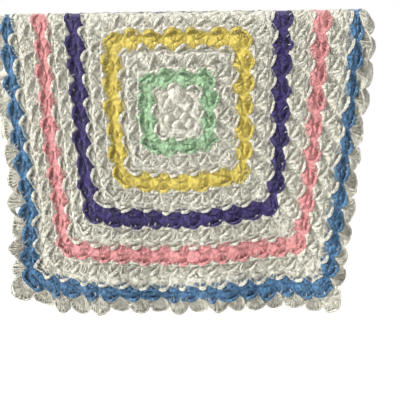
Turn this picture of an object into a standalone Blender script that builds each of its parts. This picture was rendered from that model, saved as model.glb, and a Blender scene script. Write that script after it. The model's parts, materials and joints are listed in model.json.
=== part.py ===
"""A crochet baby blanket, hung over a rail of about 28 mm that isn't part of it.

The blanket is one piece of cloth, worked in rounds from its middle. Each round is a ring of
diamond beads of stitches, so the flat cloth is a lattice of diamonds, and the last round is an
edging of white shells. Places on the cloth are counted in half beads from its middle: a across
to the right, b up. The middle of a bead is where a and b are whole and a + b is even, and the
corners between beads are where a + b is odd.

World frame, in metres: the origin is where the rail bears on the underside of the fold, +X is
to the right of someone facing the long front panel, that panel hangs on the -Y side, +Z is up.
"""

import math
from collections import namedtuple

import bmesh
import bpy
import numpy as np
from mathutils import Vector
from mathutils.geometry import delaunay_2d_cdt

# Driving sizes, in metres
HALF_BEAD = 0.0265
CLOTH_THICKNESS = 0.0045
BEAD_SWELL = 0.0022
RAIL_RADIUS = 0.014
FLUTE_DEPTH = 0.008
EDGE_RUFFLE = 0.0045
RUFFLE_FREE_FROM = 0.03

# The pattern, in half beads
BODY_ROUND = 15
EDGING_ROUND = 16
NOTCH_ROUND = 16.02
LOBE_HEIGHT = 0.62
LOBE_STEPS = 6
CREST_OUT = 0.4
FOLD_ROW_STEP = 0.25
FOLD_ROWS = 5
FLUTE_WIDTH = 11.5
FLUTE_SLANT = 0.25
FLUTE_START = 2
FLUTE_GROWTH = 1.4

# How the cloth hangs, each row of the first table at one level of the pattern: the place of
# the middle, and the width that one half bead takes on the left and on the right, millimetres
Level = namedtuple("Level", "row middle left right")
LEVELS = (
    Level(row=-17, middle=3, left=24.3, right=23.4),
    Level(row=-15, middle=4, left=24.3, right=23.5),
    Level(row=-9, middle=12, left=24.3, right=24.0),
    Level(row=-3, middle=7, left=25.0, right=25.7),
    Level(row=3, middle=3, left=25.4, right=26.8),
    Level(row=8, middle=-2, left=25.5, right=27.5),
    Level(row=17, middle=-2, left=25.7, right=26.6),
)

# Each row of this table is one place across the pattern: the row of the pattern that lies on
# the fold there, and the length that one half bead takes near the fold and at the hem
Column = namedtuple("Column", "place fold_row near_fold at_hem")
COLUMNS = (
    Column(place=-17, fold_row=6.0, near_fold=30.3, at_hem=29.0),
    Column(place=-15, fold_row=6.45, near_fold=30.3, at_hem=29.0),
    Column(place=-12, fold_row=7.2, near_fold=28.3, at_hem=28.7),
    Column(place=-9, fold_row=7.85, near_fold=27.1, at_hem=28.3),
    Column(place=-6, fold_row=8.15, near_fold=26.9, at_hem=28.1),
    Column(place=0, fold_row=8.3, near_fold=26.9, at_hem=28.1),
    Column(place=6, fold_row=8.15, near_fold=25.9, at_hem=27.8),
    Column(place=9, fold_row=7.85, near_fold=25.9, at_hem=28.0),
    Column(place=12, fold_row=7.2, near_fold=28.0, at_hem=28.5),
    Column(place=15, fold_row=6.45, near_fold=31.2, at_hem=29.6),
    Column(place=17, fold_row=6.0, near_fold=31.2, at_hem=29.6),
)
ROWS_TO_HEM = 24
BACK_STRETCH = 1.04

# The first rounds are worked tighter, by this share of a half bead over this many half beads
TIGHT_MIDDLE = 0.3
TIGHT_REACH = 3

# Gaps that the pull on the edging opens beside the foot of a shell: the side (1 is right), the
# row of the pattern where two shells meet, and whether the gap lies above or below it
Gap = namedtuple("Gap", "side joint_row above")
GAPS = (
    Gap(side=1, joint_row=5, above=-1),
    Gap(side=1, joint_row=3, above=1),
    Gap(side=1, joint_row=3, above=-1),
    Gap(side=1, joint_row=1, above=1),
    Gap(side=1, joint_row=1, above=-1),
    Gap(side=1, joint_row=-1, above=1),
    Gap(side=-1, joint_row=3, above=1),
    Gap(side=-1, joint_row=3, above=-1),
    Gap(side=-1, joint_row=1, above=1),
    Gap(side=-1, joint_row=1, above=-1),
    Gap(side=-1, joint_row=-9, above=1),
)
GAP_LENGTH = 0.44
GAP_WIDTH = 0.22
GAP_FROM_JOINT = 0.42
GAP_ROUND = 15.98

# Yarn colours, and the last round worked in each before the colour changes back to white
Yarn = namedtuple("Yarn", "name rgb round")
WHITE = Yarn(name="white_yarn", rgb=(0.80, 0.78, 0.70), round=None)
STRIPES = (
    Yarn(name="mint_yarn", rgb=(0.32, 0.68, 0.42), round=3),
    Yarn(name="yellow_yarn", rgb=(0.80, 0.64, 0.16), round=6),
    Yarn(name="purple_yarn", rgb=(0.07, 0.035, 0.24), round=9),
    Yarn(name="pink_yarn", rgb=(0.90, 0.32, 0.37), round=12),
    Yarn(name="blue_yarn", rgb=(0.09, 0.28, 0.58), round=15),
)
YARN_ROUGHNESS = 0.85

MILLIMETRE = 0.001
FOLD_RADIUS = RAIL_RADIUS + CLOTH_THICKNESS / 2 + BEAD_SWELL


def clear_scene():
    """Empty the file, so that the blanket is alone in it."""
    for thing in list(bpy.data.objects):
        bpy.data.objects.remove(thing, do_unlink=True)


def smooth_between(at, places, values):
    """Read a table along a smooth curve: cubic pieces with the slope of the neighbours."""
    places = np.asarray(places, dtype=float)
    values = np.asarray(values, dtype=float)
    slopes = np.gradient(values, places)
    at = np.clip(at, places[0], places[-1])
    low = np.clip(np.searchsorted(places, at) - 1, 0, len(places) - 2)
    span = places[low + 1] - places[low]
    share = (at - places[low]) / span
    rise = 3 * share**2 - 2 * share**3
    leave = share * (1 - share) ** 2 * span
    arrive = share**2 * (share - 1) * span
    return (values[low] * (1 - rise) + values[low + 1] * rise
            + slopes[low] * leave + slopes[low + 1] * arrive)


def level_value(name, b):
    """One column of the table of levels, in metres."""
    rows = [level.row for level in LEVELS]
    values = [getattr(level, name) for level in LEVELS]
    return smooth_between(b, rows, values) * MILLIMETRE


def column_value(name, a):
    """One column of the table of places across."""
    places = [column.place for column in COLUMNS]
    values = [getattr(column, name) for column in COLUMNS]
    return smooth_between(a, places, values)


def distance_from_fold(a, b):
    """Length along the cloth from the crest of the fold, in metres, below zero in front."""
    rows_down = column_value("fold_row", a) - b
    share = np.clip(rows_down / ROWS_TO_HEM, 0, 1)
    near_fold = column_value("near_fold", a)
    at_hem = column_value("at_hem", a)
    front = rows_down * (near_fold + (at_hem - near_fold) * share**2) * MILLIMETRE
    back = rows_down * HALF_BEAD * BACK_STRETCH
    return -np.where(rows_down > 0, front, back)


def bead_swell(a, b):
    """How far a bead swells out of the cloth at a place: the product of two cosines."""
    return BEAD_SWELL * np.cos(math.pi * a) * np.cos(math.pi * b)


def hang_off_plane(a, b, distance):
    """How far the cloth hangs off its flat path, with its flutes and its edging's ruffle.

    Flutes deepen with the distance from the fold, and slant a little across the cloth. Away
    from the fold, the shells of the edging lean out and in by turns.
    """
    hem_distance = ROWS_TO_HEM * HALF_BEAD
    share_down = np.clip(np.abs(distance) / hem_distance, 0, 1)
    phase = (a + FLUTE_SLANT * b + FLUTE_START) / FLUTE_WIDTH
    flutes = FLUTE_DEPTH * share_down**FLUTE_GROWTH * np.sin(2 * math.pi * phase)
    along_edge = np.where(np.abs(a) > np.abs(b), b, a)
    past_body = np.clip(np.maximum(np.abs(a), np.abs(b)) - BODY_ROUND, 0, None)
    free_of_fold = np.clip(np.abs(distance) / RUFFLE_FREE_FROM - 1, 0, 1)
    ruffle = EDGE_RUFFLE * past_body * free_of_fold * np.cos(math.pi * along_edge / 2)
    return flutes + ruffle


def drape(a, b, swell):
    """World places of points of the cloth: an arc over the rail, then straight down."""
    a = np.asarray(a, dtype=float)
    b = np.asarray(b, dtype=float)
    across = a - TIGHT_MIDDLE * np.tanh(a / TIGHT_REACH)
    half_bead = np.where(a < 0, level_value("left", b), level_value("right", b))
    x = level_value("middle", b) + across * half_bead
    distance = distance_from_fold(a, b)
    quarter_turn = FOLD_RADIUS * math.pi / 2
    angle = np.clip(distance, -quarter_turn, quarter_turn) / FOLD_RADIUS
    drop = np.clip(np.abs(distance) - quarter_turn, 0, None)
    radius = FOLD_RADIUS + swell + hang_off_plane(a, b, distance)
    y = radius * np.sin(angle)
    z = radius * np.cos(angle) - drop - RAIL_RADIUS
    return np.stack([x, y, z], axis=-1)


def edge_walk(steps):
    """Points and outward directions along the square of the edging round.

    The walk is counted in half beads from the lower left corner, and the direction turns
    through 90 degrees over the corner shell, which is centred on the corner.
    """
    side_length = 2 * EDGING_ROUND
    side, along = np.divmod(steps % (4 * side_length), side_length)
    place = np.stack([along - EDGING_ROUND, np.full_like(along, -EDGING_ROUND)], axis=-1)
    to_corner = np.where(along < 1, along, np.where(along > side_length - 1, along - side_length, 1))
    turn = np.where(along < 1, to_corner - 1, np.where(along > side_length - 1, to_corner + 1, 0))
    lean = math.radians(45) * turn - math.radians(90)
    outward = np.stack([np.cos(lean), np.sin(lean)], axis=-1)
    quarter = side * math.pi / 2
    turned = np.stack([np.cos(quarter), np.sin(quarter), -np.sin(quarter), np.cos(quarter)], axis=-1)
    matrix = turned.reshape(-1, 2, 2)
    place = np.einsum("ni,nij->nj", place, matrix)
    outward = np.einsum("ni,nij->nj", outward, matrix)
    return place, outward


def scalloped_outline():
    """Outline of the cloth in the pattern: half an ellipse for each shell of the edging."""
    shells = 4 * EDGING_ROUND
    turns = np.radians(np.arange(LOBE_STEPS) * 180 / LOBE_STEPS - 90)
    centres = 2.0 * np.arange(shells)
    walk = (centres[:, None] + np.sin(turns)[None, :]).ravel()
    height = np.tile(LOBE_HEIGHT * np.cos(turns), shells)
    place, outward = edge_walk(walk)
    return place * (NOTCH_ROUND / EDGING_ROUND) + outward * height[:, None]


def gap_outline(gap):
    """Four corners of one gap, long ways along the shell's edge."""
    row = gap.joint_row + gap.above * GAP_FROM_JOINT
    place = gap.side * GAP_ROUND
    corners = [
        (place - GAP_WIDTH / 2, row),
        (place, row - GAP_LENGTH / 2),
        (place + GAP_WIDTH / 2, row),
        (place, row + GAP_LENGTH / 2),
    ]
    return corners


def near_fold(a, b):
    """Whether a place lies among the closer rows that go over the rail."""
    reach = FOLD_ROW_STEP * (FOLD_ROWS + 1.6)
    return abs(b - float(column_value("fold_row", a))) < reach


def lattice_points():
    """Middles and corners of the beads, in the body and in the shells of the edging."""
    points = []
    for a in range(-EDGING_ROUND, EDGING_ROUND + 1):
        for b in range(-EDGING_ROUND, EDGING_ROUND + 1):
            at_edge = max(abs(a), abs(b)) == EDGING_ROUND
            at_corner = abs(a) == abs(b)
            if at_edge and ((a + b) % 2 or at_corner):
                continue
            if not near_fold(a, b):
                points.append((a, b))
    return points


def bead_crest(a, b):
    """Highest place of a bead: past its middle, towards the edge of the cloth."""
    if (a + b) % 2 or max(abs(a), abs(b)) == EDGING_ROUND:
        return a, b
    out_a = np.sign(a) * (abs(a) >= abs(b))
    out_b = np.sign(b) * (abs(b) >= abs(a))
    reach = CREST_OUT / max(1, math.hypot(out_a, out_b))
    return a + out_a * reach, b + out_b * reach


def fold_points():
    """Closer rows of points where the cloth bends over the rail."""
    points = []
    for a in range(-EDGING_ROUND, EDGING_ROUND + 1):
        crest = float(column_value("fold_row", a))
        for step in range(-FOLD_ROWS, FOLD_ROWS + 1):
            points.append((a, crest + step * FOLD_ROW_STEP))
    return points


def bead_edges(places):
    """Links along the sides of the diamonds, so that faces don't cross them."""
    numbers = {place: number for number, place in enumerate(places)}
    links = []
    for (a, b), number in numbers.items():
        if (a + b) % 2 == 0:
            continue
        for side_a, side_b in ((1, 1), (1, -1)):
            other = (a + side_a, b + side_b)
            if other in numbers:
                links.append((number, numbers[other]))
    return links


def inside_gap(a, b):
    """Whether a place lies in one of the gaps, each a diamond."""
    for gap in GAPS:
        row = gap.joint_row + gap.above * GAP_FROM_JOINT
        across = abs(a - gap.side * GAP_ROUND) / (GAP_WIDTH / 2)
        along = abs(b - row) / (GAP_LENGTH / 2)
        if across + along < 1:
            return True
    return False


def flat_pattern():
    """The flat cloth as triangles in the pattern's own plane, gaps left out.

    Returns the place and the swell of each point, and the triangles.
    """
    lattice = lattice_points()
    links = bead_edges(lattice)
    worked = lattice + fold_points()
    points = [bead_crest(*place) for place in lattice] + fold_points()
    for loop in [scalloped_outline()] + [gap_outline(gap) for gap in GAPS]:
        first = len(points)
        count = len(loop)
        points.extend(loop)
        worked.extend(loop)
        links.extend((first + k, first + (k + 1) % count) for k in range(count))
    worked = np.array(worked, dtype=float)
    swell = bead_swell(worked[:, 0], worked[:, 1])
    triangles_inside = 1
    smallest = 1e-6
    flat = [Vector((float(a), float(b))) for a, b in points]
    made = delaunay_2d_cdt(flat, links, [], triangles_inside, smallest)
    places = np.array([tuple(point) for point in made[0]])
    swell = np.array([swell[first_of[0]] for first_of in made[3]])
    faces = []
    for face in made[2]:
        middle = places[list(face)].mean(axis=0)
        if not inside_gap(*middle):
            faces.append(tuple(face))
    return places, swell, faces


def bead_round(a, b):
    """Number of the round that a place belongs to: that of the diamond around it."""
    total = 2 * round((a + b) / 2)
    difference = 2 * round((a - b) / 2)
    bead_a = (total + difference) / 2
    bead_b = (total - difference) / 2
    return int(max(abs(bead_a), abs(bead_b)))


def yarn_material(yarn):
    """A plain matt material in the colour of one yarn."""
    material = bpy.data.materials.new(yarn.name)
    material.use_nodes = True
    shader = material.node_tree.nodes["Principled BSDF"]
    shader.inputs["Base Color"].default_value = (*yarn.rgb, 1)
    shader.inputs["Roughness"].default_value = YARN_ROUGHNESS
    shader.inputs["Metallic"].default_value = 0
    return material


def make_blanket(collection):
    """The one piece of cloth, an open sheet on the drape, thickened to both sides."""
    places, swell, faces = flat_pattern()
    world = drape(places[:, 0], places[:, 1], swell)
    mesh = bpy.data.meshes.new("crochet_blanket")
    mesh.from_pydata(world.tolist(), [], faces)
    yarns = [WHITE, *STRIPES]
    for yarn in yarns:
        mesh.materials.append(yarn_material(yarn))
    slot_of_round = {yarn.round: slot for slot, yarn in enumerate(yarns)}
    for polygon, face in zip(mesh.polygons, faces):
        a, b = places[list(face)].mean(axis=0)
        polygon.material_index = slot_of_round.get(bead_round(a, b), 0)
    tidy = bmesh.new()
    tidy.from_mesh(mesh)
    loose = [vert for vert in tidy.verts if not vert.link_faces]
    bmesh.ops.delete(tidy, geom=loose, context="VERTS")
    tidy.to_mesh(mesh)
    tidy.free()
    mesh.shade_smooth()
    mesh.set_sharp_from_angle(angle=math.radians(50))
    blanket = bpy.data.objects.new("crochet_blanket", mesh)
    collection.objects.link(blanket)
    wall = blanket.modifiers.new("cloth", "SOLIDIFY")
    wall.thickness = CLOTH_THICKNESS
    wall.offset = 0
    wall.use_even_offset = True
    return blanket


def main():
    clear_scene()
    collection = bpy.data.collections.new("crochet_blanket")
    bpy.context.scene.collection.children.link(collection)
    make_blanket(collection)


main()
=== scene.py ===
# %% [markdown]
# # A crochet baby blanket over a rail
# The blanket is one cloth, worked in rounds from its middle. Each round is a ring of diamond
# beads: a cluster of tall stitches drawn into an eye, and a fan of tall stitches that spreads
# from that eye to a raised edge of chain loops. The last round is a scalloped edging.
# Here every stitch is a strand of yarn, worked out with numpy on the pattern's own lattice and
# then laid on the hanging cloth. The plain CAD cloth stays underneath for the physics only.

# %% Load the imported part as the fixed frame
import json
import math

import bpy
import numpy as np
from mathutils import Matrix, Vector

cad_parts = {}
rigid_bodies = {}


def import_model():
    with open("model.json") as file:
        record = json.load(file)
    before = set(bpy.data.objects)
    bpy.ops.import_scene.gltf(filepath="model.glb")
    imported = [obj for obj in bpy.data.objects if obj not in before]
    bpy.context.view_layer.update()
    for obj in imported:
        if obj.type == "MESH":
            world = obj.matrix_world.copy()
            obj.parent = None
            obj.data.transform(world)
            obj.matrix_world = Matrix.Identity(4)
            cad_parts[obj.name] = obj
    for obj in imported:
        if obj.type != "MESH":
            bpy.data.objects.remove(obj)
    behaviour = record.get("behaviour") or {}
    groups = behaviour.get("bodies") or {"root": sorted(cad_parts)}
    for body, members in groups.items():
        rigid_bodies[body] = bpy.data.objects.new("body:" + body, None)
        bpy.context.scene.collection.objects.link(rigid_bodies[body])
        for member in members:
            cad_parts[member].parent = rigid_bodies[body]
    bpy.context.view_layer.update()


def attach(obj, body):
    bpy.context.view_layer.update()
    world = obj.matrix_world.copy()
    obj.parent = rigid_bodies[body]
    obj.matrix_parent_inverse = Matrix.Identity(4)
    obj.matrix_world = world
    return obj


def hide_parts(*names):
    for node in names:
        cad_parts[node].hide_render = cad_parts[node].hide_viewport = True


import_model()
MM = 0.001

# %% [markdown]
# ## The camera
# The photo was taken from about 1.15 m, a little above the middle of the blanket and looking
# slightly down. A camera is a place and three directions: right, up and straight back. They are
# put in the columns of its matrix, which is the surest way to say where it looks.

# %% Camera
EYE = Vector((0.1054, -1.1512, -0.2348))
PITCH, YAW, ROLL = (math.radians(turn) for turn in (8.86, 2.48, -0.26))
LENS_MM, SENSOR_MM = 45.0, 36.0
NEAREST_SEEN, FURTHEST_SEEN = 0.05, 60


def camera_matrix(eye, pitch, yaw, roll):
    """Forward looks down by pitch and left by yaw, and right and up turn about it by roll."""
    forward = Vector((-math.sin(yaw) * math.cos(pitch), math.cos(yaw) * math.cos(pitch),
                      -math.sin(pitch)))
    level = Vector((math.cos(yaw), math.sin(yaw), 0))
    upright = level.cross(forward)
    right = math.cos(roll) * level + math.sin(roll) * upright
    up = math.cos(roll) * upright - math.sin(roll) * level
    matrix = Matrix.Identity(4)
    for column, direction in enumerate((right, up, -forward, eye)):
        matrix.col[column].xyz = direction
    return matrix


camera = bpy.data.objects.new("camera", bpy.data.cameras.new("camera"))
camera.data.sensor_width = SENSOR_MM
camera.data.lens = LENS_MM
camera.data.clip_start, camera.data.clip_end = NEAREST_SEEN, FURTHEST_SEEN
camera.matrix_world = camera_matrix(EYE, PITCH, YAW, ROLL)
bpy.context.scene.collection.objects.link(camera)
bpy.context.scene.camera = camera
print("camera at", tuple(camera.matrix_world.translation))

# %% [markdown]
# ## The light and the floor
# A soft key light rakes across the cloth from the upper left, so each raised edge has a bright
# side and a shaded side. A soft box stands beside it, near enough to leave the lower right of
# the cloth a little darker. A pale surround fills the shadows, and a weaker lamp behind lights
# the back of the cloth. The floor is a plain pale sheet, well below the blanket.

# %% Lamps, surround and floor
LAMPS = (
    # name, way to the lamp (x, y, z), strength, apparent size in degrees
    ("key", (-0.64, -0.42, 0.64), 3.8, 5),
    ("back", (0.45, 0.72, 0.55), 2.2, 15),
)
LIT_MIDDLE = Vector((0.01, -0.02, -0.35))
SOFT_BOX_WAY = Vector((-0.60, -0.42, 0.68)).normalized()
SOFT_BOX_DISTANCE, SOFT_BOX_LIGHT, SOFT_BOX_SIDE = 2.3, 1.25, 0.2
WHITE = (1, 1, 1, 1)
SURROUND, SURROUND_COLOUR = 0.09, (1.0, 0.99, 0.96, 1)
FLOOR_LEVEL, FLOOR_SIDE = -1.6, 30
PAPER = {"Base Color": (0.97, 0.97, 0.97, 1), "Roughness": 0.9,
         "Emission Color": WHITE, "Emission Strength": 0.25}


def add_lamp(name, kind, strength, way):
    """A lamp that shines on the cloth, where way points from the cloth to the lamp."""
    lamp = bpy.data.objects.new(name, bpy.data.lights.new(name, kind))
    lamp.data.energy = strength
    lamp.rotation_mode = "QUATERNION"
    lamp.rotation_quaternion = Vector(way).to_track_quat("Z", "Y")
    bpy.context.scene.collection.objects.link(lamp)
    return lamp


def set_inputs(node, values):
    """Give the named sockets of a node their values."""
    for socket, value in values.items():
        node.inputs[socket].default_value = value


for name, way, strength, spread in LAMPS:
    add_lamp(name, "SUN", strength, way).data.angle = math.radians(spread)
soft_box_power = SOFT_BOX_LIGHT * math.pi * SOFT_BOX_DISTANCE**2
soft_box = add_lamp("soft_box", "AREA", soft_box_power, SOFT_BOX_WAY)
soft_box.data.size = SOFT_BOX_SIDE
soft_box.location = LIT_MIDDLE + SOFT_BOX_DISTANCE * SOFT_BOX_WAY

world = bpy.data.worlds.new("surround")
world.use_nodes = True
bpy.context.scene.world = world
bpy.context.scene.view_settings.view_transform = "Standard"
nodes, links = world.node_tree.nodes, world.node_tree.links
nodes.clear()
seen, fill, mix, out = (nodes.new(kind) for kind in (
    "ShaderNodeBackground", "ShaderNodeBackground", "ShaderNodeMixShader", "ShaderNodeOutputWorld"))
path = nodes.new("ShaderNodeLightPath")
set_inputs(seen, {"Color": WHITE})
set_inputs(fill, {"Color": SURROUND_COLOUR, "Strength": SURROUND})
links.new(path.outputs["Is Camera Ray"], mix.inputs["Fac"])
links.new(fill.outputs[0], mix.inputs[1])
links.new(seen.outputs[0], mix.inputs[2])
links.new(mix.outputs[0], out.inputs["Surface"])

floor_mesh = bpy.data.meshes.new("floor")
half = FLOOR_SIDE / 2
floor_mesh.from_pydata([(-half, -half, FLOOR_LEVEL), (half, -half, FLOOR_LEVEL),
                        (half, half, FLOOR_LEVEL), (-half, half, FLOOR_LEVEL)], [], [(0, 1, 2, 3)])
floor = bpy.data.objects.new("floor", floor_mesh)
bpy.context.scene.collection.objects.link(floor)
paper = bpy.data.materials.new("pale_paper")
paper.use_nodes = True
set_inputs(paper.node_tree.nodes["Principled BSDF"], PAPER)
floor_mesh.materials.append(paper)
print("floor at", FLOOR_LEVEL, "m")

# %% [markdown]
# ## How the cloth hangs
# Places on the cloth are counted in half beads from its middle: a across to the right, b up.
# The drape turns such a place, and a height above the cloth, into a point in the room: an arc
# over the rail, then straight down, with shallow flutes that deepen towards the hem. The tables
# say how wide and how long one half bead is drawn at each level and place of the pattern. The
# worked rounds settle a little towards the middle. The free edging has tables of its own, for
# how far it is drawn in beside each row and how far it drops below each place.

# %% The drape
HALF_BEAD = 0.0265
# Between the rail and the cloth's middle lie half its thickness and the swell of its beads
RAIL_RADIUS, CLOTH_INSIDE = 0.014, 0.00445
FOLD_RADIUS = RAIL_RADIUS + CLOTH_INSIDE
QUARTER_FOLD = FOLD_RADIUS * math.pi / 2
FLUTE_DEPTH, FLUTE_WIDTH, FLUTE_SLANT, FLUTE_START, FLUTE_GROWTH = 0.008, 11.5, 0.25, 2, 1.4
EDGE_RUFFLE, RUFFLE_FREE_FROM = 0.0045, 0.03
BODY_ROUND, EDGING_ROUND = 15, 16
ROWS_TO_HEM, BACK_STRETCH = 24, 1.04
TIGHT_MIDDLE, TIGHT_REACH = 0.3, 3

# Each level of the pattern: place of its middle, and one half bead left and right, millimetres
LEVELS = {
    "row": (-17, -15, -9, -3, 3, 8, 17),
    "middle": (3, 4, 12, 7, 3, -2, -2),
    "left": (24.3, 24.3, 24.3, 25.0, 25.4, 25.5, 25.7),
    "right": (23.4, 23.5, 24.0, 25.7, 26.8, 27.5, 26.6),
}
# Each place across: the row that lies on the fold, and one half bead's length, millimetres
COLUMNS = {
    "place": (-17, -15, -12, -9, -6, 0, 6, 9, 12, 15, 17),
    "fold_row": (6.0, 6.45, 7.2, 7.85, 8.15, 8.3, 8.15, 7.85, 7.2, 6.45, 6.0),
    "near_fold": (30.3, 30.3, 28.3, 27.1, 26.9, 26.9, 25.9, 25.9, 28.0, 31.2, 31.2),
    "at_hem": (29.0, 29.0, 28.7, 28.3, 28.1, 28.1, 27.8, 28.0, 28.5, 29.6, 29.6),
}


def smooth_between(at, places, values):
    """Read a table along a smooth curve: cubic pieces with the slope of the neighbours."""
    places, values = np.asarray(places, float), np.asarray(values, float)
    slopes = np.gradient(values, places)
    at = np.clip(at, places[0], places[-1])
    low = np.clip(np.searchsorted(places, at) - 1, 0, len(places) - 2)
    span = places[low + 1] - places[low]
    share = (at - places[low]) / span
    rise = 3 * share**2 - 2 * share**3
    leave = share * (1 - share) ** 2 * span
    arrive = share**2 * (share - 1) * span
    return (values[low] * (1 - rise) + values[low + 1] * rise
            + slopes[low] * leave + slopes[low + 1] * arrive)


def level_value(name, b):
    """One row of the table of levels, in metres."""
    return smooth_between(b, LEVELS["row"], LEVELS[name]) * MM


def column_value(name, a):
    """One row of the table of places across."""
    return smooth_between(a, COLUMNS["place"], COLUMNS[name])


def distance_from_fold(a, b):
    """Length along the cloth from the crest of the fold, in metres, below zero in front."""
    rows_down = column_value("fold_row", a) - b
    share = np.clip(rows_down / ROWS_TO_HEM, 0, 1)
    near, far = column_value("near_fold", a), column_value("at_hem", a)
    front = rows_down * (near + (far - near) * share**2) * MM
    return -np.where(rows_down > 0, front, rows_down * HALF_BEAD * BACK_STRETCH)


def hang_off_plane(a, b, distance):
    """Flutes that deepen with the distance from the fold, and the ruffle of the free edging."""
    share = np.clip(np.abs(distance) / (ROWS_TO_HEM * HALF_BEAD), 0, 1)
    phase = (a + FLUTE_SLANT * b + FLUTE_START) / FLUTE_WIDTH
    flutes = FLUTE_DEPTH * share**FLUTE_GROWTH * np.sin(2 * math.pi * phase)
    along_edge = np.where(np.abs(a) > np.abs(b), b, a)
    past_body = np.clip(np.maximum(np.abs(a), np.abs(b)) - BODY_ROUND, 0, None)
    free = np.clip(np.abs(distance) / RUFFLE_FREE_FROM - 1, 0, 1)
    return flutes + EDGE_RUFFLE * past_body * free * np.cos(math.pi * along_edge / 2)


# Where the worked rounds lie on the cloth: how far each place is drawn towards the middle
SETTLE = {
    "place": (-16.7, -15, -12, -9, -6, -3, 0, 3, 6, 9, 12, 15, 16.7),
    "a": (0.0, -0.26, -0.30, -0.16, -0.26, -0.25, 0.0, 0.14, 0.16, 0.06, 0.07, 0.22, 0.0),
    "b": (0.15, -0.22, -0.26, -0.26, -0.28, -0.22, 0.15, 0.54, 0.44, 0.36, 0.30, 0.20, 0.0),
}
SETTLE_SLIDE = 8
CORNER_PULL, CORNER_PULL_WIDTH, CORNER_PULL_FROM = 0.24, 1.8, 3
LOWER_SLIDE, LOWER_SLIDE_AT, LOWER_SLIDE_WIDTH, LOWER_SLIDE_FADE = 0.34, 5, 5, 6
# The free edging: where it ends and how deep it is, then how it drops, tucks in and curls back
EDGING_END, EDGING_DEPTH = 16.7, 1.7
EDGING_DROP, EDGING_DROP_FADE = 0.40, 4
FOLD_TUCK, FOLD_TUCK_ROW, FOLD_TUCK_WIDTH = 0.55, 6.2, 1.4
EDGING_CURL_BELOW, EDGING_CURL_BESIDE, EDGING_CURL_POWER = 6.0 * MM, 1.0 * MM, 1.3
FOLD_PRESS, FOLD_PRESS_REACH = 0.9, 0.035
# How far the free edging is drawn in beside each row, and drops below each place, by half beads
EDGE_TUCK = {
    "row": (-16, -13, -10, -6, -4, -2, 0, 2, 4, 6, 8, 12),
    "left": (-0.08, -0.10, -0.17, -0.05, 0.14, 0.17, 0.08, 0.0, 0.0, 0.0, 0.0, 0.0),
    "right": (-0.10, -0.12, -0.12, 0.0, 0.18, 0.17, 0.30, 0.32, 0.21, 0.15, 0.10, 0.0),
}
HEM_DROP = {
    "place": (-17, -14.5, -13, -10, -8, -5, -2, 4, 9, 15, 17),
    "drop": (0.05, 0.20, 0.31, 0.31, 0.12, -0.03, 0.03, 0.06, 0.12, 0.16, 0.16),
}


def hump(distance, width):
    """A smooth hump, 1 in its middle: e to the power of minus (distance / width) squared."""
    return np.exp(-((distance / width) ** 2))


def settle_rounds(a, b):
    """Draw places towards the middle: by the table for their own band, and more at the corners.

    A place that only slides along its band is drawn less, the further it is from a corner.
    """
    past = np.abs(a) - np.abs(b)
    keep_a = 1 - np.clip(-past / SETTLE_SLIDE, 0, 1)
    keep_b = 1 - np.clip(past / SETTLE_SLIDE, 0, 1)
    number = np.maximum(np.abs(a), np.abs(b))
    inside = np.clip((EDGING_END - number) / EDGING_DEPTH, 0, 1) * np.tanh(number / CORNER_PULL_FROM)
    pull = CORNER_PULL * inside * hump(past, CORNER_PULL_WIDTH)
    drawn_a = a - smooth_between(a, SETTLE["place"], SETTLE["a"]) * keep_a - pull * np.tanh(a)
    drawn_b = b - smooth_between(b, SETTLE["place"], SETTLE["b"]) * keep_b - pull * np.tanh(b)
    lower = np.clip(-b / LOWER_SLIDE_FADE, 0, 1)
    return drawn_a + lower * LOWER_SLIDE * hump(a - LOWER_SLIDE_AT, LOWER_SLIDE_WIDTH), drawn_b


def settle_edging(a, b):
    """How far the free edging is drawn in, drops beside the cloth, and drops below the hem."""
    free = np.clip(np.abs(a) - BODY_ROUND, 0, EDGING_DEPTH)
    below = np.clip(-b - BODY_ROUND, 0, EDGING_DEPTH)
    drop = EDGING_DROP * free * np.clip((BODY_ROUND - np.abs(b)) / EDGING_DROP_FADE, 0, 1)
    left, right = (smooth_between(b, EDGE_TUCK["row"], EDGE_TUCK[part]) for part in ("left", "right"))
    tuck = FOLD_TUCK * hump(b - FOLD_TUCK_ROW, FOLD_TUCK_WIDTH) + np.where(a < 0, left, right)
    hem = smooth_between(a, HEM_DROP["place"], HEM_DROP["drop"])
    return free * np.sign(a) * tuck, drop, below * hem


def settle(a, b):
    """Where places of the pattern come to lie on the cloth, with the edging hanging free."""
    drawn_a, drawn_b = settle_rounds(a, b)
    drawn_in, drop, hem = settle_edging(a, b)
    return drawn_a - drawn_in, drawn_b - drop - hem


def edging_curl(a, b):
    """How far the free edging curls back from the front of the cloth, in metres."""
    past_hem = np.clip(-b - BODY_ROUND, 0, None)
    past_side = np.clip(np.abs(a) - BODY_ROUND, 0, None)
    return (EDGING_CURL_BELOW * past_hem**EDGING_CURL_POWER
            + EDGING_CURL_BESIDE * past_side**EDGING_CURL_POWER)


# Waves of the hand's straying: their lengths and shifts in half beads, their lift in millimetres
STRAY_WAVES, STRAY_LENGTHS = 18, (1.3, 4.0)
STRAY_SHIFT, STRAY_LIFT = 0.020, 0.20
STRAY_SEED = 3
stray_rng = np.random.default_rng(STRAY_SEED)
stray_way = stray_rng.uniform(0, 2 * math.pi, STRAY_WAVES)
stray_speed = 2 * math.pi / stray_rng.uniform(*STRAY_LENGTHS, STRAY_WAVES)
STRAY = {
    "a": stray_speed * np.cos(stray_way), "b": stray_speed * np.sin(stray_way),
    "start": stray_rng.uniform(0, 2 * math.pi, STRAY_WAVES),
    "shift_a": stray_rng.normal(0, STRAY_SHIFT, STRAY_WAVES),
    "shift_b": stray_rng.normal(0, STRAY_SHIFT, STRAY_WAVES),
    "lift": stray_rng.normal(0, STRAY_LIFT, STRAY_WAVES),
}


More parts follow.
